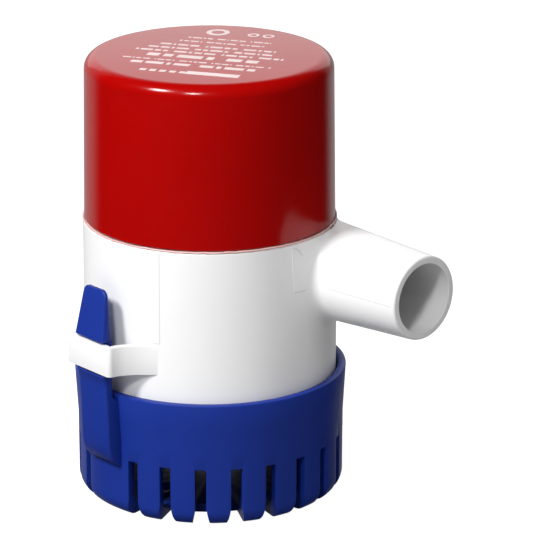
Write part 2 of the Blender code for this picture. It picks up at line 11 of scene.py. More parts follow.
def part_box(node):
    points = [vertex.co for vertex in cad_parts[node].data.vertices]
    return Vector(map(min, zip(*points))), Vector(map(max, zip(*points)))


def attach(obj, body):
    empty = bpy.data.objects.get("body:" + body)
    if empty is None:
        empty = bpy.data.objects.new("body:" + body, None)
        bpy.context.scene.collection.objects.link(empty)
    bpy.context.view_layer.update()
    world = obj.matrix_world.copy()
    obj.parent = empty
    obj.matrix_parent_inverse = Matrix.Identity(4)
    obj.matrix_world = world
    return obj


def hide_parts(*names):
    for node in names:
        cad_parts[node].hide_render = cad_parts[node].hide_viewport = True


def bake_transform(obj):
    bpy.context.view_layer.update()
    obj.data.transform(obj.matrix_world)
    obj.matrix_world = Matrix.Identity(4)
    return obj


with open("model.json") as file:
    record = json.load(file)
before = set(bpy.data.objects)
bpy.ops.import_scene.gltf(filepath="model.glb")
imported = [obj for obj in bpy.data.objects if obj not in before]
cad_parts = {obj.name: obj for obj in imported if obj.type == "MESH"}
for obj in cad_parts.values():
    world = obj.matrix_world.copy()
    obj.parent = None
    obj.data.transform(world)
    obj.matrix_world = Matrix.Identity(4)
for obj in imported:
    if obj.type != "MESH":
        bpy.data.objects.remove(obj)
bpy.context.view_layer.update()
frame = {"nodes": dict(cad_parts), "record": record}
MM = 0.001


# ------------------------------------------------------------ camera, floor and light
# The pump stands on a plain white table in a small light tent. A long lens looks
# down on it a little, from the side between the snap tab and the hose spigot.

camera_data = bpy.data.cameras.new("camera")
camera_data.lens = 255.1
camera_data.clip_end = 20
camera = bpy.data.objects.new("camera", camera_data)
bpy.context.scene.collection.objects.link(camera)
camera_side = math.radians(47.0)
camera_distance, camera_height = 0.8181, 0.3196
camera_pitch, camera_pan = 0.31627, 0.01572
camera.location = (camera_distance * math.sin(camera_side),
                   -camera_distance * math.cos(camera_side), camera_height)
camera.rotation_euler = (math.pi / 2 - camera_pitch, 0, camera_side - camera_pan)
bpy.context.scene.camera = camera
bpy.context.scene.view_settings.view_transform = "Standard"

floor_mesh = bpy.data.meshes.new("floor")
work = bmesh.new()
bmesh.ops.create_grid(work, x_segments=1, y_segments=1, size=3.0)
work.to_mesh(floor_mesh)
work.free()
floor = bpy.data.objects.new("floor", floor_mesh)
bpy.context.scene.collection.objects.link(floor)
floor_material = bpy.data.materials.new("white_table")
floor_material.use_nodes = True
floor_tree = floor_material.node_tree
floor_shader = floor_tree.nodes["Principled BSDF"]
floor_shader.inputs["Base Color"].default_value = (0.3, 0.3, 0.3, 1)
floor_shader.inputs["Roughness"].default_value = 0.9
floor_shader.inputs["Specular IOR Level"].default_value = 0.0
floor_shader.inputs["Emission Color"].default_value = (1, 1, 1, 1)
floor_path = floor_tree.nodes.new("ShaderNodeLightPath")
floor_glow = floor_tree.nodes.new("ShaderNodeMapRange")
floor_glow.inputs["To Min"].default_value = 0.05
floor_glow.inputs["To Max"].default_value = 0.97
floor_tree.links.new(floor_path.outputs["Is Camera Ray"], floor_glow.inputs["Value"])
floor_tree.links.new(floor_glow.outputs["Result"], floor_shader.inputs["Emission Strength"])
floor_mesh.materials.append(floor_material)
floor.visible_glossy = False

# The tent's walls glow softly behind the pump, a little more to the left, and are dark
# near the camera, so the glossy cap mirrors them only along its edges.
world = bpy.data.worlds.new("tent")
world.use_nodes = True
tent = world.node_tree
tent_path = tent.nodes.new("ShaderNodeLightPath")
tent_way = tent.nodes.new("ShaderNodeTexCoord")
tent_dot = tent.nodes.new("ShaderNodeVectorMath")
tent_dot.operation = "DOT_PRODUCT"
tent_axis = camera_side + math.radians(6.0)
tent_ambient = 0.32
tent_dot.inputs[1].default_value = (-math.sin(tent_axis), math.cos(tent_axis), 0)
tent.links.new(tent_way.outputs["Generated"], tent_dot.inputs[0])
tent_wall = tent.nodes.new("ShaderNodeMapRange")
tent_wall.interpolation_type = "SMOOTHSTEP"
for label, value in (("From Min", 0.54), ("From Max", 0.76), ("To Min", 0.01), ("To Max", 0.46)):
    tent_wall.inputs[label].default_value = value
tent.links.new(tent_dot.outputs["Value"], tent_wall.inputs["Value"])
tent_mix = tent.nodes.new("ShaderNodeMix")
tent_mix.inputs[2].default_value = tent_ambient
tent.links.new(tent_path.outputs["Is Glossy Ray"], tent_mix.inputs[0])
tent.links.new(tent_wall.outputs["Result"], tent_mix.inputs[3])
tent.nodes["Background"].inputs["Color"].default_value = (1, 1, 1, 1)
tent.links.new(tent_mix.outputs[0], tent.nodes["Background"].inputs["Strength"])
bpy.context.scene.world = world


def softbox(name, side, distance, rise, width, tall, watts, aim=0.05):
    """A rectangular lamp, some degrees right of the camera and above the table."""
    data = bpy.data.lights.new(name, "AREA")
    data.shape = "RECTANGLE"
    data.size, data.size_y = width, tall
    data.energy = watts
    lamp = bpy.data.objects.new(name, data)
    bpy.context.scene.collection.objects.link(lamp)
    turn, lift = camera_side + math.radians(side), math.radians(rise)
    lamp.location = (distance * math.cos(lift) * math.sin(turn),
                     -distance * math.cos(lift) * math.cos(turn), distance * math.sin(lift) + aim)
    look = Vector((0, 0, aim)) - lamp.location
    lamp.rotation_euler = look.to_track_quat("-Z", "Y").to_euler()
    return lamp


softbox("key", side=-54, distance=0.8, rise=45, width=0.15, tall=0.15, watts=5.9)
softbox("fill", side=-16, distance=0.8, rise=40, width=0.10, tall=0.10, watts=2.6)
softbox("backdrop", side=180, distance=1.3, rise=20, width=1.7, tall=0.7, watts=2.9, aim=0.1)


# ------------------------------------------------------------ motor cap
# The red cap is moulded in glossy plastic, slightly tapered, with a rounded top edge.
# It is spun-welded to the housing at the seam and has one hole, for the cable gland.

cap_low, cap_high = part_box("motor_cap")
cap_seam = cap_low.z
cap_top = cap_high.z
cap_radius_seam = 28.5 * MM
cap_radius_top = 28.1 * MM
cap_rounding = 3.0 * MM
cap_wall = 2.2 * MM
cap_inner_corner = 2.5 * MM
gland_azimuth = math.radians(225.0)
gland_height = 77.0 * MM
gland_hole_radius = 4.6 * MM


def arc(centre_r, centre_z, radius, start, end, count):
    """Profile points round a corner, angles in degrees from +R towards +Z."""
    angles = [math.radians(start + (end - start) * step / count) for step in range(count + 1)]
    return [(centre_r + radius * math.cos(a), centre_z + radius * math.sin(a)) for a in angles]


def lathe(profile, steps, closed=False):
    """A bmesh turned round Z from an (r, z) profile."""
    work = bmesh.new()
    corners = [work.verts.new((r, 0, z)) for r, z in profile]
    edges = [work.edges.new(pair) for pair in zip(corners, corners[1:])]
    if closed:
        edges.append(work.edges.new((corners[-1], corners[0])))
    bmesh.ops.spin(work, geom=corners + edges, cent=(0, 0, 0), axis=(0, 0, 1), dvec=(0, 0, 0),
                   angle=math.tau, steps=steps, use_merge=True)
    bmesh.ops.remove_doubles(work, verts=work.verts, dist=1e-6)
    bmesh.ops.dissolve_degenerate(work, dist=1e-7, edges=work.edges)
    bmesh.ops.recalc_face_normals(work, faces=work.faces)
    return work


def make_piece(name, work, material=None, sharp=35):
    """Turn a bmesh into a smooth-shaded object."""
    mesh = bpy.data.meshes.new(name)
    work.to_mesh(mesh)
    work.free()
    piece = bpy.data.objects.new(name, mesh)
    bpy.context.scene.collection.objects.link(piece)
    mesh.shade_smooth()
    mesh.set_sharp_from_angle(angle=math.radians(sharp))
    if material is not None:
        mesh.materials.append(material)
    return piece


def settle(piece, sharp=35):
    """Apply a piece's modifiers to its mesh."""
    bpy.context.view_layer.update()
    graph = bpy.context.evaluated_depsgraph_get()
    mesh = bpy.data.meshes.new_from_object(piece.evaluated_get(graph))
    piece.modifiers.clear()
    piece.data = mesh
    mesh.shade_smooth()
    mesh.set_sharp_from_angle(angle=math.radians(sharp))
    return piece


def boolean(piece, tool, operation="DIFFERENCE"):
    """Cut or join a tool object into a piece, and remove the tool."""
    step = piece.modifiers.new("join", "BOOLEAN")
    step.operation = operation
    step.solver = "EXACT"
    step.object = tool
    settle(piece)
    bpy.data.objects.remove(tool)
    return piece


def placed(work, matrix):
    """Move a whole bmesh to where it belongs."""
    bmesh.ops.transform(work, matrix=matrix, verts=work.verts)
    return work


# Effects that several plastics share: handling scratches, and a soft mould texture.

def add_group(name, inputs, outputs):
    """A shader node group with named sockets, and its input and output nodes."""
    group = bpy.data.node_groups.new(name, "ShaderNodeTree")
    for label, kind, value in inputs:
        socket = group.interface.new_socket(label, in_out="INPUT", socket_type=kind)
        if value is not None:
            socket.default_value = value
    for label, kind in outputs:
        group.interface.new_socket(label, in_out="OUTPUT", socket_type=kind)
    start = group.nodes.new("NodeGroupInput")
    end = group.nodes.new("NodeGroupOutput")
    return group, start, end


def add_node(tree, kind, **values):
    """A shader node with some of its settings."""
    made = tree.nodes.new(kind)
    for key, value in values.items():
        setattr(made, key, value)
    return made


def mixer(tree, factor, low, high):
    """Remap a 0 to 1 value to low to high."""
    made = add_node(tree, "ShaderNodeMapRange")
    tree.links.new(factor, made.inputs["Value"])
    made.inputs["To Min"].default_value = low
    made.inputs["To Max"].default_value = high
    return made.outputs["Result"]


def make_moulded_group():
    """Mottle for colour, smears for roughness and orange peel for height."""
    group, start, end = add_group(
        "moulded_skin",
        [("Vector", "NodeSocketVector", None), ("Scale", "NodeSocketFloat", 1.0),
         ("Scratches", "NodeSocketFloat", 0.3)],
        [("Mottle", "NodeSocketFloat"), ("Smear", "NodeSocketFloat"),
         ("Height", "NodeSocketFloat")])
    link = group.links.new
    scaled = add_node(group, "ShaderNodeVectorMath", operation="SCALE")
    link(start.outputs["Vector"], scaled.inputs[0])
    link(start.outputs["Scale"], scaled.inputs["Scale"])

    def cloud(scale, detail, rough=0.5):
        """One layer of soft noise."""
        made = add_node(group, "ShaderNodeTexNoise")
        made.inputs["Scale"].default_value = scale
        made.inputs["Detail"].default_value = detail
        made.inputs["Roughness"].default_value = rough
        link(scaled.outputs[0], made.inputs["Vector"])
        return made.outputs["Fac"]
    link(cloud(55.0, 3.0), end.inputs["Mottle"])
    stretch = add_node(group, "ShaderNodeMapping")
    stretch.inputs["Scale"].default_value = (1.0, 1.0, 0.12)
    stretch.inputs["Rotation"].default_value = (0.5, 0.35, 0.2)
    link(scaled.outputs[0], stretch.inputs["Vector"])
    hair = add_node(group, "ShaderNodeTexNoise")
    hair.inputs["Scale"].default_value = 900.0
    hair.inputs["Detail"].default_value = 2.0
    link(stretch.outputs["Vector"], hair.inputs["Vector"])
    thin = add_node(group, "ShaderNodeMapRange")
    link(hair.outputs["Fac"], thin.inputs["Value"])
    thin.inputs["From Min"].default_value = 0.64
    thin.inputs["From Max"].default_value = 0.74
    scratch = add_node(group, "ShaderNodeMath", operation="MULTIPLY")
    link(thin.outputs["Result"], scratch.inputs[0])
    link(start.outputs["Scratches"], scratch.inputs[1])
    smear = add_node(group, "ShaderNodeMath", operation="ADD")
    link(cloud(120.0, 4.0, 0.6), smear.inputs[0])
    link(scratch.outputs[0], smear.inputs[1])
    link(smear.outputs[0], end.inputs["Smear"])
    peel = add_node(group, "ShaderNodeMath", operation="SUBTRACT")
    link(cloud(420.0, 2.0), peel.inputs[0])
    link(scratch.outputs[0], peel.inputs[1])
    link(peel.outputs[0], end.inputs["Height"])
    return group


MOULDED = make_moulded_group()


def new_material(name):
    """A material, its tree and shader, and the place on the piece to draw patterns by."""
    material = bpy.data.materials.new(name)
    material.use_nodes = True
    tree = material.node_tree
    place = add_node(tree, "ShaderNodeTexCoord")
    return material, tree, tree.nodes["Principled BSDF"], place.outputs["Object"]


def moulded_plastic(name, color, dark, roughness, bump, scale=1.0, scratches=0.3, specular=0.5):
    """A moulded plastic whose colour, gloss and skin vary gently over the surface."""
    material, tree, shader, place = new_material(name)
    skin = add_node(tree, "ShaderNodeGroup")
    skin.node_tree = MOULDED
    tree.links.new(place, skin.inputs["Vector"])
    skin.inputs["Scale"].default_value = scale
    skin.inputs["Scratches"].default_value = scratches
    tint = add_node(tree, "ShaderNodeMix", data_type="RGBA")
    tint.inputs[6].default_value = (*dark, 1)
    tint.inputs[7].default_value = (*color, 1)
    tree.links.new(skin.outputs["Mottle"], tint.inputs[0])
    tree.links.new(tint.outputs[2], shader.inputs["Base Color"])
    tree.links.new(mixer(tree, skin.outputs["Smear"], *roughness), shader.inputs["Roughness"])
    lift = add_node(tree, "ShaderNodeBump")
    lift.inputs["Strength"].default_value = bump
    lift.inputs["Distance"].default_value = 0.0002
    tree.links.new(skin.outputs["Height"], lift.inputs["Height"])
    tree.links.new(lift.outputs["Normal"], shader.inputs["Normal"])
    shader.inputs["Specular IOR Level"].default_value = specular
    return material


RED_CAP = moulded_plastic("red_cap_plastic", (0.35, 0.0006, 0.0002), (0.29, 0.0004, 0.0002),
                          (0.12, 0.22), 0.05, scratches=0.25, specular=0.28)

cap_profile = [(0, cap_top)] + arc(cap_radius_top - cap_rounding, cap_top - cap_rounding,
                                   cap_rounding, 90, 0, 12)
cap_profile += [(cap_radius_seam, cap_seam + 0.3 * MM), (cap_radius_seam - 0.25 * MM, cap_seam),
                (cap_radius_seam - cap_wall, cap_seam), (cap_radius_top - cap_wall, cap_top - 5 * MM),
                (cap_radius_top - cap_wall - cap_inner_corner, cap_top - cap_wall),
                (0, cap_top - cap_wall)]
cap = make_piece("cap_shell", lathe(cap_profile, 160), RED_CAP)

gland_way = Vector((math.sin(gland_azimuth), -math.cos(gland_azimuth), 0))
gland_turn = (Matrix.Translation((0, 0, gland_height))
              @ gland_way.to_track_quat("Z", "X").to_matrix().to_4x4())
hole_start, hole_end = cap_radius_seam - 6.5 * MM, cap_radius_seam + 5.5 * MM
hole_profile = [(0, hole_start), (gland_hole_radius, hole_start), (gland_hole_radius, hole_end),
                (0, hole_end)]
boolean(cap, make_piece("gland_hole", placed(lathe(hole_profile, 32), gland_turn)))
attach(cap, "pump")
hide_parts("motor_cap")


# ------------------------------------------------------------ pump housing
# White housing: a moulded tube with a tangential hose spigot and two strap loops that
# the strainer's tabs hook over. The spigot meets the wall in a fillet, and the loops'
# ends flare onto it.

WHITE_HOUSING = moulded_plastic("white_housing_plastic", (0.84, 0.84, 0.84), (0.81, 0.81, 0.815),
                                (0.28, 0.42), 0.04, scratches=0.4)

body_low, body_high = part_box("pump_body")
body_radius = 28.8 * MM
body_bore = 26.8 * MM
body_bottom, body_top = body_low.z, body_high.z
spigot_y, spigot_z = 15.1 * MM, 53.6 * MM
spigot_tip = body_high.x
spigot_radius_tip, spigot_radius_root = 9.6 * MM, 10.9 * MM
spigot_bore = 7.9 * MM
spigot_root_x = 28.3 * MM
spigot_lip = 0.6 * MM
fillet_reach, fillet_spread, fillet_steps = 3.0 * MM, 2.7 * MM, 10
fillet_nearest = 15 * MM
plug_x, plug_scale = 9 * MM, 0.85
body_edge = 0.35 * MM

body_profile = [(0, body_top), (body_radius - body_edge, body_top),
                (body_radius, body_top - body_edge), (body_radius, body_bottom + body_edge),
                (body_radius - body_edge, body_bottom), (0, body_bottom)]
housing = make_piece("housing_shell", lathe(body_profile, 192), WHITE_HOUSING)


def loft(work, rings, closed=False):
    """Skin rings of points, which all have as many; closed joins the last to the first."""
    loops = []
    for ring in rings:
        corners = [work.verts.new(point) for point in ring]
        loops.append([work.edges.new((corners[k - 1], corners[k])) for k in range(len(corners))])
    if not closed:
        for end in (loops[0], loops[-1]):
            bmesh.ops.edgeloop_fill(work, edges=end)
    for near, far in zip(loops, loops[1:] + (loops[:1] if closed else [])):
        bmesh.ops.bridge_loops(work, edges=near + far)
    bmesh.ops.recalc_face_normals(work, faces=work.faces)
    return work


def wall_x(y):
    """Where the housing's surface is at a distance y from its axis."""
    return math.sqrt(max((body_radius - 0.02 * MM) ** 2 - y * y, 0))


def cone_radius(x):
    """The spigot's taper, straight from the tip to the housing."""
    share = min((spigot_tip - x) / (spigot_tip - spigot_root_x), 1.0)
    return spigot_radius_tip + (spigot_radius_root - spigot_radius_tip) * share


def fillet_curve(across, up):
    """Start, corner and end of the root fillet's curve on one side of the spigot."""
    x_corner = wall_x(spigot_y + spigot_radius_root * across)
    x_start = max(x_corner, fillet_nearest) + fillet_reach
    r_start = cone_radius(x_start)
    r_end = spigot_radius_root + fillet_spread * (0.45 + 0.55 * (1 - max(across, 0)))
    y_end = min(spigot_y + r_end * across, body_radius - 0.6 * MM)
    return (Vector((x_start, spigot_y + r_start * across,
                    min(spigot_z + r_start * up, body_top - 0.1 * MM))),
            Vector((x_corner, spigot_y + spigot_radius_root * across,
                    min(spigot_z + spigot_radius_root * up, body_top - 0.2 * MM))),
            Vector((wall_x(y_end), y_end, min(spigot_z + r_end * up, body_top - 0.3 * MM))))


def make_spigot():
    """Rings from the tip back, swept into the root fillet, and a plug inside the housing."""
    sides = 96
    ways = [(math.cos(t), math.sin(t)) for t in (math.tau * k / sides for k in range(sides))]
    lip_centre = spigot_tip - spigot_lip
    rings = [[(lip_centre + x, spigot_y + r * across, spigot_z + r * up) for across, up in ways]
             for r, x in arc(spigot_radius_tip - spigot_lip, 0, spigot_lip, 90, 0, 6)]
    curves = [fillet_curve(across, up) for across, up in ways]
    for step in range(fillet_steps + 1):
        u = step / fillet_steps
        rings.append([start * (1 - u) ** 2 + corner * 2 * u * (1 - u) + end * u * u
                      for start, corner, end in curves])
    rings.append([(plug_x, spigot_y + (point.y - spigot_y) * plug_scale,
                   spigot_z + (point.z - spigot_z) * plug_scale) for point in rings[-1]])
    return loft(bmesh.new(), rings)


boolean(housing, make_piece("spigot_solid", make_spigot()), "UNION")

loop_low, loop_high = 35.1 * MM, 41.9 * MM
loop_wall = 1.5 * MM
loop_face, loop_half, loop_bend = 35.3 * MM, 7.75 * MM, 1.2 * MM
tab_azimuth = math.radians(-4.0)
# How a loop's side curves from the wall out to its corner: across and out, in mm.
LOOP_SIDE = [(14.6, 24.3), (13.0, 25.7), (11.5, 27.2), (10.2, 28.7), (9.2, 30.2), (8.4, 31.7),
             (7.9, 33.0)]


def make_loop(turn):
    """A strap bent out round the tab: flat front, round corners, flared ends."""
    outline = [(x * MM, y * MM) for x, y in LOOP_SIDE]
    outline += arc(loop_half - loop_bend, loop_face - loop_bend, loop_bend, 0, 90, 6)
    outline = [(x, -y) for x, y in outline] + [(-x, -y) for x, y in reversed(outline)]
    work = bmesh.new()
    corners = [work.verts.new((x, y, loop_low)) for x, y in outline]
    edges = [work.edges.new(pair) for pair in zip(corners, corners[1:])]
    raised = bmesh.ops.extrude_edge_only(work, edges=edges)["geom"]
    moved = [item for item in raised if isinstance(item, bmesh.types.BMVert)]
    bmesh.ops.translate(work, verts=moved, vec=(0, 0, loop_high - loop_low))
    bmesh.ops.recalc_face_normals(work, faces=work.faces)
    piece = make_piece("loop_strap", work)
    wall = piece.modifiers.new("wall", "SOLIDIFY")
    wall.thickness = loop_wall
    wall.offset = 1 if piece.data.polygons[8].normal.y > 0 else -1
    wall.use_even_offset = True
    settle(piece)
    soft = piece.modifiers.new("soft", "BEVEL")
    soft.width = 0.3 * MM
    soft.segments = 3
    soft.limit_method = "ANGLE"
    soft.angle_limit = math.radians(60)
    settle(piece)
    piece.data.transform(Matrix.Rotation(turn, 4, "Z"))
    return piece


for loop_turn in (tab_azimuth, tab_azimuth + math.pi):
    boolean(housing, make_loop(loop_turn), "UNION")
cavity_profile = [(0, body_top + 2 * MM), (body_bore, body_top + 2 * MM),
                  (body_bore, body_bottom - 2 * MM), (0, body_bottom - 2 * MM)]
boolean(housing, make_piece("cavity", lathe(cavity_profile, 128)))
along_x = Matrix.Translation((0, spigot_y, spigot_z)) @ Matrix.Rotation(math.pi / 2, 4, "Y")
bore_edge, bore_start, bore_end = 0.1 * MM, 2 * MM, spigot_tip + 3 * MM
bore_profile = [(0, bore_start), (spigot_bore, bore_start), (spigot_bore, spigot_tip - bore_edge),
                (spigot_bore + bore_edge, spigot_tip + 0.01 * MM),
                (spigot_bore + bore_edge, bore_end), (0, bore_end)]
boolean(housing, make_piece("bore", placed(lathe(bore_profile, 96), along_x)))
settle(housing, sharp=40)
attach(housing, "pump")
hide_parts("pump_body")


# ------------------------------------------------------------ printing on the cap
# Rows of white ink are pad-printed on the cap's top. They are plain dashes, a bar and
# rings, which say nothing. The ink stands a few hundredths of a millimetre proud.

WHITE_PRINT = moulded_plastic("white_print", (0.80, 0.70, 0.69), (0.66, 0.50, 0.49),
                              (0.4, 0.6), 0.05, scale=3.0, scratches=0.5, specular=0.3)
print_turn = math.radians(28.8)
print_proud = 0.03 * MM


def add_ink(work, along, offset, length, height):
    """One thin dash of ink, placed along the rows and across them, in mm."""
    place = (Matrix.Rotation(print_turn, 4, "Z")
             @ Matrix.Translation((along * MM, offset * MM, cap_top))
             @ Matrix.Diagonal((length * MM, height * MM, 2 * print_proud, 1)))
    bmesh.ops.create_cube(work, size=1.0, matrix=place)


# Each row: where it starts and ends along the rows, its place across them and its height.
PRINT_ROWS = [(-14.7, 14.2, -10.8, 1.7), (-17.6, 16.9, -7.8, 0.7), (-13.2, 12.8, -3.9, 2.2),
              (-17.1, 17.5, -0.3, 1.1), (-15.1, 14.0, 2.6, 1.1), (-13.4, 13.9, 5.6, 1.1),
              (-10.0, 10.9, 9.3, 0.8), (-9.0, 10.7, 12.6, 0.8)]
# Each ring: its place along and across the rows, and its outer and inner radius.
PRINT_RINGS = [(-3.9, 18.6, 2.7, 1.5), (4.6, 18.6, 1.4, 0.8), (8.2, 18.6, 1.4, 0.8)]
dash_gap, group_gap, dashes_per_group = 0.45, 0.9, 4

ink = bmesh.new()
for row, (start, end, offset, height) in enumerate(PRINT_ROWS):
    along, count = start, 0
    while along < end:
        wave = 0.5 + 0.5 * math.sin(2.3 * count + 1.7 * row)
        length = min(height * (0.5 + 2.2 * wave), end - along)
        add_ink(ink, along + length / 2, offset, length, height)
        count += 1
        gap = dash_gap + (group_gap if count % dashes_per_group == 0 else 0)
        along += length + gap * max(height, 0.8)
add_ink(ink, along=6.3, offset=-16.6, length=12.2, height=2.4)
for count in range(5):
    add_ink(ink, along=-9.8 + 2.3 * count, offset=-16.9, length=1.5, height=1.5)
for along, offset, outer, inner in PRINT_RINGS:
    ring_mark = lathe([(inner * MM, -print_proud), (outer * MM, -print_proud),
                       (outer * MM, print_proud), (inner * MM, print_proud)], 32, closed=True)
    placed(ring_mark, Matrix.Rotation(print_turn, 4, "Z")
           @ Matrix.Translation((along * MM, offset * MM, cap_top)))
    ring_mesh = bpy.data.meshes.new("ring_mark")
    ring_mark.to_mesh(ring_mesh)
    ring_mark.free()
    ink.from_mesh(ring_mesh)
printing = make_piece("cap_printing", ink, WHITE_PRINT)
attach(printing, "pump")


# ------------------------------------------------------------ weld bead and mould lines
# The spin weld squeezes a ragged thread of plastic out of the seam. The moulds leave
# thin raised lines on the housing and along the spigot, and one loose hair of flash.

WELD_BEAD = moulded_plastic("weld_bead_plastic", (0.80, 0.62, 0.60), (0.66, 0.25, 0.22),
                            (0.35, 0.55), 0.1, scale=6.0, specular=0.3)
# Painted shade: the finer mould lines get a greyer white than the housing, which stands in for the
# shade along these thin ridges.
MOULD_LINE_SHADE = moulded_plastic("mould_line_painted_shade", (0.62, 0.62, 0.62), (0.5, 0.49, 0.48),
                             (0.4, 0.6), 0.05, specular=0.3)
SEAM_SOIL = moulded_plastic("seam_soil", (0.09, 0.05, 0.045), (0.04, 0.022, 0.02),
                            (0.6, 0.85), 0.3, scale=4.0, specular=0.2)


def thread(points, radii, sides=6, closed=False):
    """A thin tube along points, with a radius for each; closed joins its ends."""
    rings = []
    for index, (point, radius) in enumerate(zip(points, radii)):
        if closed:
            ahead, behind = points[(index + 1) % len(points)], points[index - 1]
        else:
            ahead, behind = points[min(index + 1, len(points) - 1)], points[max(index - 1, 0)]
        along = (ahead - behind).normalized()
        side = along.cross(Vector((0, 0, 1)) if abs(along.z) < 0.9 else Vector((1, 0, 0)))
        side.normalize()
        up = side.cross(along)
        turns = [math.tau * k / sides for k in range(sides)]
        rings.append([point + radius * (math.cos(t) * side + math.sin(t) * up) for t in turns])
    return loft(bmesh.new(), rings, closed)


def on_housing(azimuth, z, proud=0.0):
    """A point on the housing's wall, azimuth in degrees and sizes in mm."""
    angle = math.radians(azimuth)
    radius = body_radius + proud * MM
    return Vector((radius * math.sin(angle), -radius * math.cos(angle), z * MM))


# The bead wanders and swells along the seam, by coarse and by fine noise. Sizes in mm.
bead_drop, bead_wander = 0.15, 0.12
bead_radius, bead_swell, bead_crumb = 0.17, 0.09, 0.13
bead_points, bead_radii = [], []
for count in range(360):
    way = on_housing(count, 0, -0.1)
    coarse, fine = noise.noise(way * 700), noise.noise(way * 2400)
    height = cap_seam + (bead_wander * coarse - bead_drop) * MM
    bead_points.append(way + Vector((0, 0, height)))
    bead_radii.append((bead_radius + bead_swell * abs(coarse) + bead_crumb * max(fine, 0)) * MM)
bead = make_piece("weld_bead", thread(bead_points, bead_radii, closed=True), WELD_BEAD)
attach(bead, "pump")

spigot_front = [Vector((x, spigot_y - cone_radius(x) + 0.02 * MM, spigot_z))
                for x in (34 * MM, 38 * MM, 42 * MM, 46 * MM, 50 * MM, 52.2 * MM)]
# Each line: its name, its points, its radius in mm and its plastic; the grey plastic is painted
# shade.
MOULD_LINES = [
    ("ridge_upright", [on_housing(86 + 0.14 * k, 64 - 1.1 * k) for k in range(11)], 0.16,
     WHITE_HOUSING),
    ("ridge_level", [on_housing(87.5 + 2 * k, 52.8 - 0.07 * k) for k in range(8)], 0.07,
     MOULD_LINE_SHADE),
    ("flash_hair", [on_housing(86.8 + 1.1 * k, 63.4 - 0.1 * k * k, 0.12) for k in range(6)], 0.13,
     WHITE_HOUSING),
    ("spigot_parting", spigot_front, 0.07, MOULD_LINE_SHADE),
    ("witness_upright", [on_housing(24, 63.5 - 2.1 * k) for k in range(11)], 0.06, MOULD_LINE_SHADE),
    ("witness_level", [on_housing(24 - 1.4 * k, 42.5) for k in range(4)], 0.06, MOULD_LINE_SHADE),
]
for name, points, radius, material in MOULD_LINES:
    line = make_piece(name, thread(points, [radius * MM] * len(points)), material)
    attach(line, "pump")

# Grime caught at the spigot's root, each speck by azimuth, height and size in mm.
SPECKS = [(108.5, 62.5, 0.32), (110.5, 62.9, 0.42), (112.5, 63.2, 0.3), (115, 63.5, 0.36),
          (117.5, 63.9, 0.42), (120, 64.2, 0.34)]
speck_flatness, speck_roughness = 0.55, 0.12 * MM
specks = bmesh.new()
for azimuth, z, size in SPECKS:
    way = on_housing(azimuth, z)
    place = Matrix.Translation(way) @ Matrix.Diagonal(
        (size * MM, size * MM, speck_flatness * size * MM, 1))
    bmesh.ops.create_icosphere(specks, subdivisions=2, radius=1.0, matrix=place)
for vertex in specks.verts:
    vertex.co += vertex.co.normalized() * speck_roughness * noise.noise(vertex.co * 3000)
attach(make_piece("seam_specks", specks, SEAM_SOIL), "pump")


# ------------------------------------------------------------ strainer base
# Blue cup that filters the water through narrow radial slots. The slots run round its
# rounded foot into the floor, and two holes in the floor take the mounting screws.

BLUE_STRAINER = moulded_plastic("blue_strainer_plastic", (0.007, 0.029, 0.262),
                                (0.006, 0.025, 0.228), (0.36, 0.5), 0.1, scratches=0.4,
                                specular=0.25)

rim_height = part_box("strainer_base")[1].z
rim_radius, base_radius, base_bore = 31.1 * MM, 30.4 * MM, 29.2 * MM
foot_rounding = 3.8 * MM
slot_top, slot_width, slot_root = 13.9 * MM, 2.6 * MM, 20.5 * MM
slot_flare, slot_flare_top, slot_reach = 4.4 * MM, 4.5 * MM, 40 * MM
slot_pitch, slot_first, slots_per_side = math.radians(15.4), math.radians(15.7), 10
base_floor, seat = 2.0 * MM, 15.0 * MM
floor_corner = 3.8 * MM
seat_bore = 28.2 * MM
screw_radius, screw_spacing = 2.3 * MM, 14 * MM

base_profile = [(0, base_floor), (23.5 * MM, base_floor)]
base_profile += arc(seat_bore - floor_corner, base_floor + floor_corner, floor_corner, -90, 0, 6)
base_profile += [(seat_bore, seat), (base_bore, seat), (base_bore, rim_height - 0.25 * MM),
                 (base_bore + 0.25 * MM, rim_height), (rim_radius - 0.3 * MM, rim_height),
                 (rim_radius - 0.08 * MM, rim_height - 0.1 * MM),
                 (rim_radius, rim_height - 0.35 * MM), (base_radius + 0.35 * MM, 23.0 * MM),
                 (base_radius + 0.05 * MM, 18 * MM)]
base_profile += arc(base_radius - foot_rounding, foot_rounding, foot_rounding, 0, -90, 10)
base_profile += [(0, 0)]
strainer = make_piece("strainer_shell", lathe(base_profile, 180), BLUE_STRAINER)

slot_outline = [(slot_flare / 2, -1 * MM), (slot_width / 2, slot_flare_top),
                (slot_width / 2, slot_top)]
slot_outline += [(-x, z) for x, z in reversed(slot_outline)]
slots = bmesh.new()
for count in range(slots_per_side):
    for sign in (-1, 1):
        turn = Matrix.Rotation(tab_azimuth + sign * (slot_first + slot_pitch * count), 4, "Z")
        loft(slots, [[turn @ Vector((x, -depth, z)) for x, z in slot_outline]
                     for depth in (slot_root, slot_reach)])
boolean(strainer, make_piece("slot_tool", slots))
holes = bmesh.new()
for sign in (-1, 1):
    bmesh.ops.create_cone(holes, cap_ends=True, segments=32, radius1=screw_radius,
                          radius2=screw_radius, depth=10 * MM,
                          matrix=Matrix.Translation((0, sign * screw_spacing, 0)))
boolean(strainer, make_piece("hole_tool", holes))
soft = strainer.modifiers.new("soft", "BEVEL")
soft.width = 0.14 * MM
soft.segments = 2
soft.limit_method = "ANGLE"
soft.angle_limit = math.radians(42)
settle(strainer, sharp=40)
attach(strainer, "strainer")
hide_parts("strainer_base")


# ------------------------------------------------------------ snap tabs
# Each tab is moulded with the strainer: a rib on the wall goes up into a springy arm,
# which passes through the housing's loop and ends in a wedge that hooks over it.

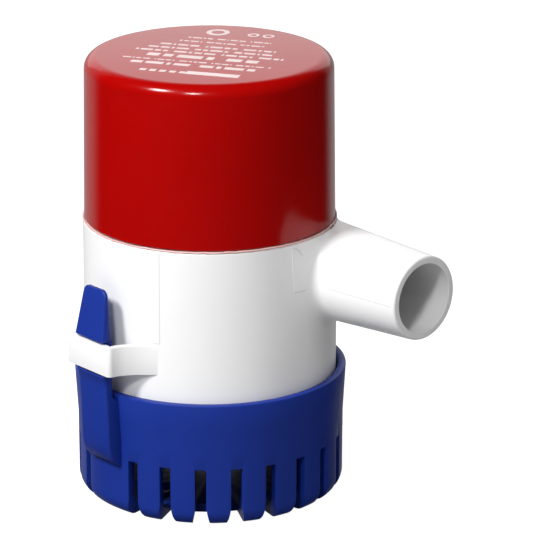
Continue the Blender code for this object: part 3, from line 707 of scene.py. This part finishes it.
# The wedge in mm: its ends, inner face, outer face and half width at the ledge, and how
# much the last two shrink up to the tip.
wedge_low, wedge_high, wedge_corner = 42.4, 53.85, 1.4
wedge_inner, wedge_face, wedge_half = 32.2, 35.2, 5.2
wedge_slope, wedge_taper = 2.1, 1.3


def wedge_section(z):
    """The wedge narrows upwards both ways, and its top corners are rounded."""
    share = (z - wedge_low) / (wedge_high - wedge_low)
    rise = min(max(0.0, z - (wedge_high - wedge_corner)), wedge_corner)
    cut = wedge_corner - math.sqrt(wedge_corner ** 2 - rise ** 2)
    return (z, wedge_inner, wedge_face - wedge_slope * share,
            wedge_half - wedge_taper * share - cut, 1.0 - 0.5 * share)


# Each section: height, inner face, outer face, half width and corner radius, in mm.
TAB_SECTIONS = [(12.0, 29.75, 30.3, 4.95, 0.2), (13.0, 29.75, 31.6, 4.95, 0.5),
                (13.8, 29.75, 32.4, 4.95, 0.6), (15.4, 29.75, 33.2, 4.95, 0.7),
                (17.2, 29.75, 33.6, 4.95, 0.7), (22.0, 29.75, 33.75, 4.95, 0.7),
                (26.5, 29.75, 33.9, 4.95, 0.7), (27.5, 29.75, 33.95, 4.95, 0.7),
                (28.6, 31.6, 34.0, 4.95, 0.7), (29.6, 32.0, 34.05, 4.95, 0.6),
                (30.7, 32.0, 34.1, 4.95, 0.6), (31.8, 32.0, 34.1, 4.95, 0.6),
                (33.0, 32.0, 34.4, 4.95, 0.6), (33.9, 32.0, 34.8, 4.95, 0.6),
                (34.25, 32.0, 34.9, 4.95, 0.6), (34.5, 32.0, 34.6, 4.95, 0.6),
                (34.6, 32.0, 33.4, 4.95, 0.4), (38.5, 32.0, 33.4, 4.95, 0.4),
                (42.4, 32.0, 33.4, 4.95, 0.4), (42.41, 32.2, 35.0, 5.0, 0.9)]
TAB_SECTIONS += [wedge_section(z)
                 for z in (42.6, 44, 46, 48, 50, 51.5, 52.6, 53.1, 53.5, 53.7, 53.8)]


def make_tab():
    """Rounded cross-sections from the rib's foot up to the wedge's tip."""
    rings = []
    for z, inner, outer, half, radius in TAB_SECTIONS:
        corners = [(half - radius, outer - radius), (radius - half, outer - radius),
                   (radius - half, inner + radius), (half - radius, inner + radius)]
        outline = [point for quarter, (x, out) in enumerate(corners)
                   for point in arc(x, out, radius, 90 * quarter, 90 * quarter + 90, 4)]
        rings.append([(x * MM, -out * MM, z * MM) for x, out in outline])
    return loft(bmesh.new(), rings)


for side, tab_turn in (("front", tab_azimuth), ("back", tab_azimuth + math.pi)):
    tab = make_piece("snap_arm_" + side, make_tab(), BLUE_STRAINER, sharp=50)
    tab.data.transform(Matrix.Rotation(tab_turn, 4, "Z"))
    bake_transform(tab)
    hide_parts("snap_tab_" + side)


# ------------------------------------------------------------ everything inside
# The motor, its seals and leads, and the rotor with its impeller. They are turned,
# stamped, wound and moulded parts, whose shapes come with the frame.

def metal(name, color, dark, roughness, grain, stretch=(1, 1, 1), bump=0.1):
    """A metal with grain that can be drawn out along an axis."""
    material, tree, shader, place = new_material(name)
    mapping = add_node(tree, "ShaderNodeMapping")
    mapping.inputs["Scale"].default_value = stretch
    tree.links.new(place, mapping.inputs["Vector"])
    cloud = add_node(tree, "ShaderNodeTexNoise")
    cloud.inputs["Scale"].default_value = grain
    cloud.inputs["Detail"].default_value = 4.0
    tree.links.new(mapping.outputs["Vector"], cloud.inputs["Vector"])
    tint = add_node(tree, "ShaderNodeMix", data_type="RGBA")
    tint.inputs[6].default_value = (*dark, 1)
    tint.inputs[7].default_value = (*color, 1)
    tree.links.new(cloud.outputs["Fac"], tint.inputs[0])
    tree.links.new(tint.outputs[2], shader.inputs["Base Color"])
    tree.links.new(mixer(tree, cloud.outputs["Fac"], *roughness), shader.inputs["Roughness"])
    lift = add_node(tree, "ShaderNodeBump")
    lift.inputs["Strength"].default_value = bump
    lift.inputs["Distance"].default_value = 0.0001
    tree.links.new(cloud.outputs["Fac"], lift.inputs["Height"])
    tree.links.new(lift.outputs["Normal"], shader.inputs["Normal"])
    shader.inputs["Metallic"].default_value = 1.0
    return material


INSIDE = {
    "white_housing_plastic": WHITE_HOUSING,
    "blue_strainer_plastic": BLUE_STRAINER,
    "red_cap_plastic": RED_CAP,
    "black_plastic": moulded_plastic("black_plastic", (0.014, 0.014, 0.015), (0.009, 0.009, 0.01),
                                     (0.35, 0.55), 0.15),
    "black_rubber": moulded_plastic("black_rubber", (0.022, 0.022, 0.023), (0.014, 0.014, 0.014),
                                    (0.55, 0.8), 0.3, specular=0.3),
    "plated_steel": metal("plated_steel", (0.62, 0.62, 0.6), (0.48, 0.49, 0.47), (0.28, 0.45), 220),
    "ground_steel": metal("ground_steel", (0.66, 0.66, 0.67), (0.5, 0.5, 0.52), (0.16, 0.3), 500,
                          (1, 1, 12)),
    "lamination_steel": metal("lamination_steel", (0.42, 0.42, 0.43), (0.2, 0.2, 0.21),
                              (0.35, 0.6), 120, (0.2, 0.2, 20), 0.5),
    "ferrite": moulded_plastic("ferrite", (0.06, 0.06, 0.063), (0.035, 0.035, 0.038),
                               (0.6, 0.9), 0.5, scale=2.0),
    "copper": metal("copper", (0.78, 0.36, 0.2), (0.5, 0.2, 0.1), (0.25, 0.45), 300, (4, 4, 1), 0.3),
    "brass": metal("brass", (0.76, 0.56, 0.25), (0.6, 0.42, 0.17), (0.22, 0.4), 260),
    "sintered_bronze": metal("sintered_bronze", (0.5, 0.32, 0.15), (0.3, 0.18, 0.08),
                             (0.45, 0.7), 900, bump=0.5),
    "carbon": moulded_plastic("carbon", (0.075, 0.075, 0.08), (0.05, 0.05, 0.055), (0.4, 0.6),
                              0.4, scale=2.0),
    "brown_insulation": moulded_plastic("brown_insulation", (0.19, 0.075, 0.03),
                                        (0.14, 0.055, 0.02), (0.35, 0.5), 0.1),
    "black_insulation": moulded_plastic("black_insulation", (0.025, 0.025, 0.026),
                                        (0.017, 0.017, 0.018), (0.35, 0.5), 0.1),
    "capacitor_coating": moulded_plastic("capacitor_coating", (0.05, 0.19, 0.42),
                                         (0.04, 0.15, 0.35), (0.25, 0.4), 0.3),
}
slots_of = {part["node"]: part["material_slot"] for part in frame["record"]["subparts"]}
for node, piece in frame["nodes"].items():
    piece.data.materials.clear()
    piece.data.materials.append(INSIDE[slots_of[node]])
